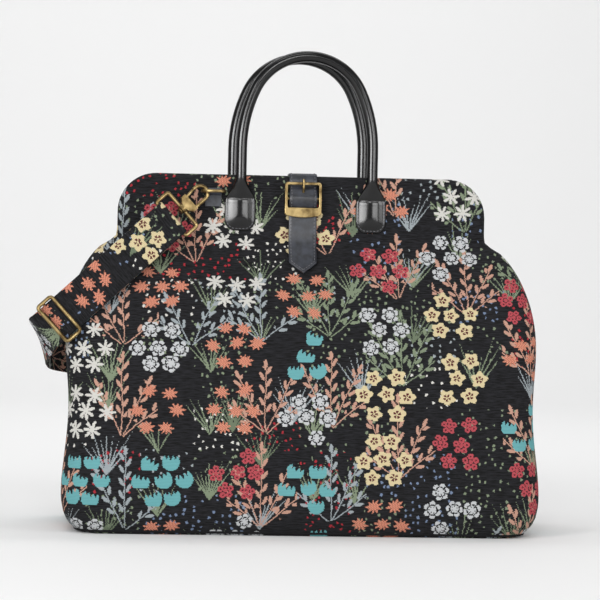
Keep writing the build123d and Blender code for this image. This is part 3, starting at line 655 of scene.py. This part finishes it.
def tapestry():
    """Black chenille with bunches of small wild flowers, woven in visible picks."""
    material = bpy.data.materials.new("tapestry")
    material.use_nodes = True
    tree = material.node_tree
    shader = tree.nodes["Principled BSDF"]
    place = tree.nodes.new("ShaderNodeUVMap")
    place.uv_map = "weave"
    split = tree.nodes.new("ShaderNodeSeparateXYZ")
    tree.links.new(place.outputs[0], split.inputs[0])
    u = Val(tree, split.outputs[0]) * 1000
    v = Val(tree, split.outputs[1]) * 1000
    pick_row = (v / PICK_TALL).floor()
    pick_v = (pick_row + 0.5) * PICK_TALL
    nudge = (chances(tree, pick_row, pick_row * 0.37, 71.0)[0] - 0.5) * PICK_WIDE
    pick_u = (((u + nudge) / PICK_WIDE).floor() + 0.5) * PICK_WIDE

    streak = tree.nodes.new("ShaderNodeCombineXYZ")
    tree.links.new((u * 0.10).socket, streak.inputs[0])
    tree.links.new((v * 0.75).socket, streak.inputs[1])
    slub = tree.nodes.new("ShaderNodeTexNoise")
    slub.inputs["Scale"].default_value = 1.0
    slub.inputs["Detail"].default_value = 3.0
    tree.links.new(streak.outputs[0], slub.inputs["Vector"])
    pile = Val(tree, slub.outputs["Fac"])

    cloth = painted(tree, PITCH, GROUND, ((pile - 0.36) * 4).clamped(0, 1))
    cloth, seeds = dots(tree, pick_u, pick_v, cloth, seed=3.0, share=0.75)
    cloth, low_grass = grasses(
        tree, pick_u + 17, pick_v, cloth, wide=50, tall=62, seed=11.0, share=0.50
    )
    cloth, high_grass = grasses(
        tree, pick_u + 40, pick_v + 25, cloth, wide=60, tall=70, seed=14.0, share=0.30
    )
    cloth, branches = sprigs(
        tree, pick_u + 31, pick_v + 9, cloth, wide=68, tall=92, seed=21.0, share=0.70
    )
    cloth, heads = blooms(tree, pick_u, pick_v, cloth, wide=73, tall=65, seed=31.0, share=0.94)
    tree.links.new(cloth, shader.inputs["Base Color"])
    shader.inputs["Roughness"].default_value = 0.85
    shader.inputs["Specular IOR Level"].default_value = 0.2

    motif = seeds.either(low_grass).either(high_grass).either(branches).either(heads)
    bump = tree.nodes.new("ShaderNodeBump")
    bump.inputs["Distance"].default_value = 0.0022
    tree.links.new((motif * -0.60 + 1.0).socket, bump.inputs["Strength"])
    tree.links.new(pile.socket, bump.inputs["Height"])
    tree.links.new(bump.outputs[0], shader.inputs["Normal"])
    return material


def plain_material(name, colour, roughness, metal=0.0):
    """Simple shader with one colour, to be dressed by the caller."""
    material = bpy.data.materials.new(name)
    material.use_nodes = True
    shader = material.node_tree.nodes["Principled BSDF"]
    shader.inputs["Base Color"].default_value = (*colour, 1)
    shader.inputs["Roughness"].default_value = roughness
    shader.inputs["Metallic"].default_value = metal
    return material


def speckle(tree, scale, detail):
    """Noise from 0 to 1 over the object's own space, in grains to the metre."""
    place = tree.nodes.new("ShaderNodeTexCoord")
    noise = tree.nodes.new("ShaderNodeTexNoise")
    noise.inputs["Scale"].default_value = scale
    noise.inputs["Detail"].default_value = detail
    tree.links.new(place.outputs["Object"], noise.inputs["Vector"])
    return Val(tree, noise.outputs["Fac"])


def rough_skin(material, height, strength, distance):
    """Bumps on a material from a height."""
    tree = material.node_tree
    bump = tree.nodes.new("ShaderNodeBump")
    bump.inputs["Strength"].default_value = strength
    bump.inputs["Distance"].default_value = distance
    tree.links.new(height.socket, bump.inputs["Height"])
    tree.links.new(bump.outputs[0], tree.nodes["Principled BSDF"].inputs["Normal"])


def make_leather(name, low, high, roughness, grain, shine):
    """Finished black leather with faint clouds in its colour and gloss, and a fine grain."""
    material = plain_material(name, low, roughness)
    tree = material.node_tree
    shader = tree.nodes["Principled BSDF"]
    shader.inputs["Specular IOR Level"].default_value = shine
    clouds = speckle(tree, scale=140, detail=5)
    share = ((clouds - 0.35) * 3).clamped(0, 1)
    tree.links.new(painted(tree, low, high, share), shader.inputs["Base Color"])
    tree.links.new((clouds * 0.12 + (roughness - 0.06)).socket, shader.inputs["Roughness"])
    rough_skin(material, speckle(tree, scale=900, detail=3), grain, distance=0.0004)
    return material


def make_brass():
    """Antique brass: dark in the hollows of its patina, bright where it is rubbed."""
    dark, bright = srgb(88, 72, 45), srgb(172, 150, 104)
    material = plain_material("antique_brass", bright, roughness=0.34, metal=1.0)
    tree = material.node_tree
    shader = tree.nodes["Principled BSDF"]
    wear = ((speckle(tree, scale=110, detail=4) - 0.34) * 3).clamped(0, 1)
    tree.links.new(painted(tree, dark, bright, wear), shader.inputs["Base Color"])
    tree.links.new((wear * -0.10 + 0.42).socket, shader.inputs["Roughness"])
    rough_skin(material, speckle(tree, scale=1200, detail=2), strength=0.12, distance=0.0003)
    return material


def make_cloth(name, low, high, pitch):
    """Plain woven cloth: threads both ways, a pitch in millimetres apart, and clouds of paler yarn."""
    material = plain_material(name, low, roughness=0.9)
    tree = material.node_tree
    shader = tree.nodes["Principled BSDF"]
    shader.inputs["Specular IOR Level"].default_value = 0.2
    place = tree.nodes.new("ShaderNodeTexCoord")
    split = tree.nodes.new("ShaderNodeSeparateXYZ")
    tree.links.new(place.outputs["Object"], split.inputs[0])
    x, y, z = (Val(tree, socket) for socket in split.outputs)
    turns = math.pi / (pitch * MM)
    threads = ((x + y) * turns).math("SINE") * ((z + y) * turns).math("SINE") * 0.5 + 0.5
    clouds = ((speckle(tree, scale=260, detail=4) - 0.35) * 3).clamped(0, 1)
    tree.links.new(painted(tree, low, high, threads * 0.5 + clouds * 0.5), shader.inputs["Base Color"])
    rough_skin(material, threads, strength=0.4, distance=pitch * MM / 2)
    return material


def make_steel():
    """Bright drawn steel with faint clouds in its gloss."""
    low, high = srgb(128, 128, 131), srgb(168, 168, 170)
    material = plain_material("frame_steel", high, roughness=0.32, metal=1.0)
    tree = material.node_tree
    shader = tree.nodes["Principled BSDF"]
    clouds = ((speckle(tree, scale=220, detail=5) - 0.35) * 3).clamped(0, 1)
    tree.links.new(painted(tree, low, high, clouds), shader.inputs["Base Color"])
    tree.links.new((clouds * 0.16 + 0.26).socket, shader.inputs["Roughness"])
    rough_skin(material, speckle(tree, scale=1500, detail=2), strength=0.08, distance=0.0002)
    return material


# Stitching and piping
STITCH_LENGTH = 2.3 * MM
STITCH_PITCH = 3.5 * MM
STITCH_R = 0.36 * MM
STITCH_SIDES = 6
PIPING_R = 1.7 * MM
PIPING_Z = 3.4 * MM
PIPING_SIDES = 8


def walk(line, pitch):
    """Places and ways along a line of points, one for each pitch."""
    line = np.array(line)
    run = run_along(line)
    out = []
    for place in np.arange(pitch / 2, run[-1], pitch):
        here = np.array([np.interp(place, run, line[:, axis]) for axis in range(3)])
        ahead = np.array([np.interp(place + pitch / 8, run, line[:, axis]) for axis in range(3)])
        way = ahead - here
        if np.linalg.norm(way) > 0:
            out.append((here, way / np.linalg.norm(way)))
    return out


def sew(name, lines, material, body):
    """Row of single stitches along each line, as one piece that goes with a body."""
    points, faces = [], []
    shape = [(-0.5, 0.4), (-0.3, 1.0), (0.3, 1.0), (0.5, 0.4)]
    for line in lines:
        for here, way in walk(line, STITCH_PITCH):
            side = np.cross(way, (0, 1, 0))
            side /= np.linalg.norm(side)
            up = np.cross(side, way)
            first = len(points)
            for along, swell in shape:
                for corner in range(STITCH_SIDES):
                    turn = 2 * math.pi * corner / STITCH_SIDES
                    off = side * math.cos(turn) + up * math.sin(turn)
                    points.append(here + way * along * STITCH_LENGTH + off * swell * STITCH_R)
            faces += ring_faces(len(shape), STITCH_SIDES, first)
    piece = make_piece(name, points, faces, None, material, closed=True)
    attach(piece, body)
    return piece


def paddle_lines(handle, side):
    """Sewing line round the lower end of each paddle of a handle, on its outer face."""
    low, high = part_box(handle)
    middle = (low[0] + high[0]) / 2
    face = side * (JAW_FACE + PADDLE_RIM + STITCH_R / 4)
    inner = PADDLE_FOOT_R - PADDLE_EDGE
    half = PADDLE_HALF - PADDLE_EDGE
    foot = low[2] + PADDLE_EDGE
    lines = []
    for end in (-1, 1):
        outline = [(-half, PADDLE_SHOULDER_Z)]
        for turn in np.radians(np.linspace(180, 270, 7)):
            outline.append((-half + inner + inner * math.cos(turn), foot + inner + inner * math.sin(turn)))
        outline += [(-x, z) for x, z in outline[::-1]]
        lines.append([(middle + end * HANDLE_HALF_SPAN + x, face, z) for x, z in outline])
    return lines


# Rolled handles, with paddles that swell inside their sewn edge
HANDLE_R = 5.6 * MM
HANDLE_HALF_SPAN = 66 * MM
HANDLE_TOP_Z = 474 * MM
HANDLE_SIDE_R = 140 * MM
HANDLE_SIDE_TURN = math.radians(25)
PADDLE_FOOT_Z = 298 * MM
PADDLE_FOOT_R = 11 * MM
PADDLE_HALF = 15.5 * MM
PADDLE_SHOULDER_Z = 331 * MM
PADDLE_RIM = 2.3 * MM
PADDLE_SWELL = 4.2 * MM
PADDLE_ROUND = 1.0 * MM
PADDLE_EDGE = 2.3 * MM
FOLD_DEPTH = 0.8 * MM
FOLD_REACH = 1.3 * MM
SWELL_START = 3.4 * MM
SWELL_REACH = 6.5 * MM
NECK_LOW_Z = 326 * MM
NECK_HIGH_Z = 351 * MM
LEG_ROWS = (
    298, 298.3, 298.8, 299.6, 300.6, 302, 304, 306.5, 309, 312, 315, 318, 321, 324, 326.5,
    328.5, 330, 331, 332, 333.5, 335.5, 338, 340.5, 343, 345.5, 348, 350.5, 353, 358, 368,
)
SECTION_STEPS = 16


def handle_line():
    """Centre points and ways of the handle's round part, from one leg over the top to the other."""
    cosine, sine = math.cos(HANDLE_SIDE_TURN), math.sin(HANDLE_SIDE_TURN)
    crown_r = (HANDLE_HALF_SPAN - HANDLE_SIDE_R * (1 - cosine)) / cosine
    leg_top = HANDLE_TOP_Z - HANDLE_SIDE_R * sine - crown_r * (1 - sine)
    inset = HANDLE_SIDE_R - HANDLE_HALF_SPAN
    turn = math.degrees(HANDLE_SIDE_TURN)
    arcs = [
        ((inset, leg_top), HANDLE_SIDE_R, np.linspace(180, 180 - turn, 9)),
        ((0, HANDLE_TOP_Z - crown_r), crown_r, np.linspace(180 - turn, turn, 41)[1:]),
        ((-inset, leg_top), HANDLE_SIDE_R, np.linspace(turn, 0, 9)[1:]),
    ]
    line = []
    for (x, z), radius, turns in arcs:
        for a in np.radians(turns):
            place = (x + radius * math.cos(a), z + radius * math.sin(a))
            line.append((place, (math.sin(a), -math.cos(a))))
    return line


def paddle_swell(off, half, z):
    """Height of a paddle's face over its back: a thin sewn edge and a stuffed middle."""
    edge = np.minimum(half - np.abs(off), z - PADDLE_FOOT_Z)
    rim = PADDLE_RIM * np.sqrt(1 - (1 - np.clip(edge / PADDLE_ROUND, 0, 1)) ** 2)
    swell = PADDLE_SWELL * (1 - np.exp(-np.maximum(edge - SWELL_START, 0) / SWELL_REACH))
    fold = FOLD_DEPTH * math.exp(-(((z - PADDLE_SHOULDER_Z) / FOLD_REACH) ** 2))
    return rim + swell - fold * np.clip(edge / SWELL_START, 0, 1)


def handle_row(z):
    """Offsets across a leg, and the distances of its face and back from the jaw, at a height."""
    drop = np.clip(PADDLE_FOOT_Z + PADDLE_FOOT_R - z, 0, PADDLE_FOOT_R)
    half = PADDLE_HALF - PADDLE_FOOT_R + math.sqrt(PADDLE_FOOT_R**2 - drop**2)
    neck = float(ease(NECK_LOW_Z, NECK_HIGH_Z, z))
    share = -np.cos(np.linspace(0, math.pi, SECTION_STEPS + 1))
    width = half * (1 - neck) + HANDLE_R * neck
    off = share * width
    bow = np.sqrt(np.maximum(1 - share**2, 0)) * HANDLE_R
    face = paddle_swell(off, width, z) * (1 - neck) + (HANDLE_R + bow) * neck
    back = (HANDLE_R - bow) * neck
    return off, face, back


def make_handle(name, node, side, material):
    """Handle of one jaw as a single stuffed and rolled piece."""
    low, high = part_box(node)
    middle = (low[0] + high[0]) / 2
    legs = [((-HANDLE_HALF_SPAN, z * MM), (0, 1), handle_row(z * MM)) for z in LEG_ROWS]
    others = [((HANDLE_HALF_SPAN, z * MM), (0, -1), handle_row(z * MM)) for z in LEG_ROWS[::-1]]
    tube = handle_row(NECK_HIGH_Z)
    rows = legs + [(place, way, tube) for place, way in handle_line()] + others
    points = []
    for (x, z), (way_x, way_z), (off, face, back) in rows:
        loop = list(zip(off, face)) + list(zip(off[-2:0:-1], back[-2:0:-1]))
        for across, out in loop:
            points.append((middle + x + way_z * across, side * (JAW_FACE + out), z - way_x * across))
    faces = ring_faces(len(rows), 2 * SECTION_STEPS)
    piece = make_piece(name, points, faces, None, material, closed=True)
    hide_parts(node)
    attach(piece, "front_jaw" if side < 0 else "rear_jaw")


# Closure strap: route in depth and height from its sewn end on the rear jaw to its tip, as in the part
STRAP_HALF = 14 * MM
STRAP_THICK = 2.4 * MM
STRAP_EDGE = 2.3 * MM
STRAP_TIP_LENGTH = 13 * MM
TIP_SHARE = 0.03
TIP_EDGE = 1.5 * STRAP_EDGE
STRAP_ROUTE = (
    (14.55, 304), (14.55, 322), (14.55, 340), (14.5, 349), (12.6, 354), (8, 355.8), (0, 355.9), (-8, 355.8),
    (-12.6, 354), (-14.5, 350), (-15, 345.2), (-18, 340), (-21.4, 334.5), (-22.2, 331), (-21.2, 327),
    (-17.6, 321.5), (-16.7, 315), (-16.9, 305), (-17.8, 295), (-20.6, 285), (-26.2, 274.5), (-32.6, 265.5),
    (-39.4, 257),
)


def lift_strap(piece):
    """Gives the strap its own copy of its mesh."""
    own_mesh(piece)


def make_strap(material):
    """Closure strap as one smooth ribbon with a pointed tip. Also gives the sewing lines of its edges."""
    line = through([(0, y * MM, z * MM) for y, z in STRAP_ROUTE], per_span=6)
    alongs = np.gradient(line, axis=0)
    alongs /= np.linalg.norm(alongs, axis=1)[:, None]
    outs = np.cross(alongs, (1, 0, 0))
    run = run_along(line)
    halves = np.clip((run[-1] - run) / STRAP_TIP_LENGTH, TIP_SHARE, 1) * STRAP_HALF
    shares = (-1, -0.96, -0.7, -0.35, 0, 0.35, 0.7, 0.96, 1)
    lifts = (0.25, 0.46, 0.5, 0.5, 0.5, 0.5, 0.5, 0.46, 0.25)
    section = [(share, lift) for share, lift in zip(shares, lifts)]
    section += [(share, -lift) for share, lift in zip(shares[::-1], lifts[::-1])]
    points = []
    for centre, out, half in zip(line, outs, halves):
        for share, lift in section:
            points.append((share * half, *(centre + out * lift * STRAP_THICK)[1:]))
    faces = ring_faces(len(line), len(section), capped=True)
    piece = make_piece("closure_strap_leather", points, faces, None, material, closed=True)
    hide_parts("closure_strap")
    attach(piece, "rear_jaw")
    lift_strap(piece)
    sewn = []
    for end in (-1, 1):
        edge = []
        for centre, out, half in zip(line, outs, halves):
            spare = max(half - (STRAP_EDGE if half >= STRAP_HALF else TIP_EDGE), 0)
            edge.append((end * spare, *(centre + out * (STRAP_THICK / 2 + STITCH_R / 4))[1:]))
        sewn.append(edge[:-2])
    return sewn


def base_piping(material):
    """Black piping round the foot of the bag."""
    half_width = float(np.interp(PIPING_Z, BODY_HEIGHTS, BODY_HALF_WIDTHS))
    half_depth = float(np.interp(PIPING_Z, BODY_HEIGHTS, BODY_HALF_DEPTHS))
    corner = float(BODY_CORNERS[0])
    loop = []
    for turn_x, turn_y, first in ((1, 1, 0), (-1, 1, 90), (-1, -1, 180), (1, -1, 270)):
        for turn in np.radians(np.linspace(first, first + 90, 9)):
            loop.append(
                (turn_x * (half_width - corner) + corner * math.cos(turn),
                 turn_y * (half_depth - corner) + corner * math.sin(turn))
            )
    points, faces = [], []
    count = len(loop)
    for place, (x, y) in enumerate(loop):
        before, after = loop[place - 1], loop[(place + 1) % count]
        way = Vector((after[0] - before[0], after[1] - before[1], 0)).normalized()
        out = Vector((way.y, -way.x, 0))
        for side in range(PIPING_SIDES):
            turn = 2 * math.pi * side / PIPING_SIDES
            off = out * math.cos(turn) * PIPING_R + Vector((0, 0, math.sin(turn) * PIPING_R))
            points.append((x + off.x, y + off.y, PIPING_Z + off.z))
    for place in range(count):
        here, ahead = place * PIPING_SIDES, (place + 1) % count * PIPING_SIDES
        for side in range(PIPING_SIDES):
            beside = (side + 1) % PIPING_SIDES
            faces.append((here + side, here + beside, ahead + beside, ahead + side))
    piece = make_piece("base_piping", points, faces, None, material, closed=True)
    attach(piece, "bag")


# Finishes, and the CAD nodes that wear them
weave = tapestry()
glossy_leather = make_leather(
    "black_leather", srgb(5, 5, 6), srgb(8, 8, 10), roughness=0.19, grain=0.03, shine=0.42
)
# Strap leather: its grey-blue tone and paler clouds are partly scuffs and partly painted sheen
strap_leather_scuffs_and_sheen = make_leather(
    "waxed_leather_scuffs_and_sheen", srgb(26, 28, 34), srgb(52, 56, 66), roughness=0.42, grain=0.20, shine=0.5
)
brass = make_brass()
steel = make_steel()
lining_cloth = make_cloth("lining_cloth", srgb(30, 28, 29), srgb(48, 45, 46), pitch=0.35)
board = make_cloth("board", srgb(20, 20, 21), srgb(32, 32, 33), pitch=0.6)
black_cloth = make_cloth("black_cloth", srgb(14, 14, 16), srgb(30, 30, 34), pitch=0.9)
thread = make_cloth("thread", srgb(94, 94, 98), srgb(128, 128, 132), pitch=0.3)
piping = make_cloth("piping", srgb(10, 10, 11), srgb(22, 22, 25), pitch=0.5)
FINISHES = {
    "tapestry": black_cloth,
    "black_leather": glossy_leather,
    "antique_brass": brass,
    "frame_steel": steel,
    "lining_cloth": lining_cloth,
    "board": board,
}
for entry in frame["record"]["subparts"]:
    mesh = frame["nodes"][entry["node"]].data
    mesh.materials.clear()
    mesh.materials.append(FINISHES[entry["material_slot"]])
for node in ("closure_strap", "front_d_ring_tab", "rear_d_ring_tab", "buckle_chape"):
    mesh = frame["nodes"][node].data
    mesh.materials.clear()
    mesh.materials.append(strap_leather_scuffs_and_sheen)

# Cloth of the bag, in a front and a rear half that take the jaw's form above the rim
front_cloth = cloth_half("front_cloth", side=-1, seed=0.4, material=weave)
rear_cloth = cloth_half("rear_cloth", side=1, seed=1.7, material=weave)
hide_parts("front_panel", "left_gusset", "right_gusset")
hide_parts("rear_panel")
for cloth, jaw in ((front_cloth, "front_jaw"), (rear_cloth, "rear_jaw")):
    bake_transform(cloth)

# Shoulder strap, hung from its two clips
front_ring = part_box("front_d_ring")
rear_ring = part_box("rear_d_ring")
ring_z = JOINTS["front_d_ring_tilt"]["pos_m"][2]
front_origin = (front_ring[0][0] + RING_WIRE_R, -CLIP_Y, ring_z)
rear_origin = (rear_ring[1][0] - RING_WIRE_R, CLIP_Y, ring_z)
front_clip = clip_frame(front_origin, JOINTS["front_clip_swivel"]["axis"], -1)
rear_clip = clip_frame(rear_origin, JOINTS["rear_clip_swivel"]["axis"], 1)
front_end, long_run, rear_end = strap_pieces(front_clip, rear_clip, weave)
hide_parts("strap_front_loop")
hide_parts("shoulder_web")
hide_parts("strap_rear_loop")
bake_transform(front_end)
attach(rear_end, "rear_jaw")
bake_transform(long_run)

# Leather pieces with their stitches, and the piping
sew("front_paddle_stitches", paddle_lines("front_handle", -1), thread, "front_jaw")
sew("rear_paddle_stitches", paddle_lines("rear_handle", 1), thread, "rear_jaw")
make_handle("front_handle_leather", "front_handle", -1, glossy_leather)
make_handle("rear_handle_leather", "rear_handle", 1, glossy_leather)
lift_strap(sew("closure_strap_stitches", make_strap(strap_leather_scuffs_and_sheen), thread, "rear_jaw"))
base_piping(piping)

# Floor, lamps and camera
VIEW_AZIMUTH = -4.5
VIEW_ELEVATION = 1.0
VIEW_ROLL = 1.2
VIEW_DISTANCE = 2.6
VIEW_FIELD = 0.6
AIM = Vector((-2 * MM, -30 * MM, 230 * MM))
FLOOR_HALF_WIDTH = 6.0
FLOOR_FRONT = -4.0
FLOOR_BACK = 2.2
SWEEP_R = 1.2
BACKDROP_TOP = 6.0
FLOOR_SHADE = 0.90
WORLD_LEVEL = 0.32

# Soft boxes: place, aim, width, height, power and whether they only show as reflections
LAMPS = {
    "left_box": ((-1.5, -1.7, 0.9), (0, 0, 0.3), 0.5, 1.2, 19, False),
    "right_box": ((1.7, -1.4, 0.9), (0, 0, 0.3), 0.4, 1.2, 12, False),
    "front_fill": ((-0.15, -2.5, 1.2), (0, 0, 0.25), 0.8, 0.5, 15, False),
    "left_sheen": ((-1.2, -1.85, 0.5), (0, 0, 0.38), 1.2, 0.5, 27, True),
    "right_sheen": ((0.97, -1.98, 0.5), (0, 0, 0.38), 0.9, 0.5, 13, True),
    "top_box": ((-0.3, -0.9, 2.2), (0, 0, 0.2), 1.2, 0.3, 6, False),
    "backdrop_wash": ((0, 0.9, 2.6), (0, 2.6, 0.6), 3.0, 1.0, 45, False),
}


def make_floor():
    """Pale floor that curves up into a backdrop."""
    material = plain_material("studio_floor", [FLOOR_SHADE] * 3, roughness=0.9)
    line = [(FLOOR_FRONT, 0), (FLOOR_BACK, 0)]
    for turn in np.radians(np.linspace(5, 90, 16)):
        line.append((FLOOR_BACK + SWEEP_R * math.sin(turn), SWEEP_R - SWEEP_R * math.cos(turn)))
    line.append((FLOOR_BACK + SWEEP_R, BACKDROP_TOP))
    points = [(x, y, z) for y, z in line for x in (-FLOOR_HALF_WIDTH, FLOOR_HALF_WIDTH)]
    faces = [(2 * i, 2 * i + 1, 2 * i + 3, 2 * i + 2) for i in range(len(line) - 1)]
    floor = make_piece("studio_floor", points, faces, None, material)


def make_lamp(name, place, target, wide, tall, power, gloss_only):
    """Soft box aimed at a point, or one that only shows as a reflection."""
    data = bpy.data.lights.new(name, "AREA")
    data.shape = "RECTANGLE"
    data.size = wide
    data.size_y = tall
    data.energy = power
    lamp = link(bpy.data.objects.new(name, data))
    lamp.location = place
    lamp.visible_diffuse = not gloss_only
    lamp.rotation_euler = (Vector(target) - Vector(place)).to_track_quat("-Z", "Y").to_euler()


def make_camera():
    """Camera at the photograph's angle, with one millimetre to the pixel at the bag's face."""
    data = bpy.data.cameras.new("camera")
    camera = link(bpy.data.objects.new("camera", data))
    data.sensor_fit = "HORIZONTAL"
    data.angle = 2 * math.atan(VIEW_FIELD / 2 / VIEW_DISTANCE)
    azimuth, elevation = math.radians(VIEW_AZIMUTH), math.radians(VIEW_ELEVATION)
    level = math.cos(elevation)
    away = Vector((math.sin(azimuth) * level, -math.cos(azimuth) * level, math.sin(elevation)))
    camera.location = AIM + away * VIEW_DISTANCE
    look = (-away).to_track_quat("-Z", "Y").to_matrix()
    camera.rotation_euler = (look @ Matrix.Rotation(math.radians(VIEW_ROLL), 3, "Z")).to_euler()
    bpy.context.scene.camera = camera


make_floor()
for name, setting in LAMPS.items():
    make_lamp(name, *setting)
make_camera()
world = bpy.data.worlds.new("studio")
world.use_nodes = True
world.node_tree.nodes["Background"].inputs["Color"].default_value = (1, 1, 1, 1)
world.node_tree.nodes["Background"].inputs["Strength"].default_value = WORLD_LEVEL
bpy.context.scene.world = world
bpy.context.scene.view_settings.view_transform = "Standard"
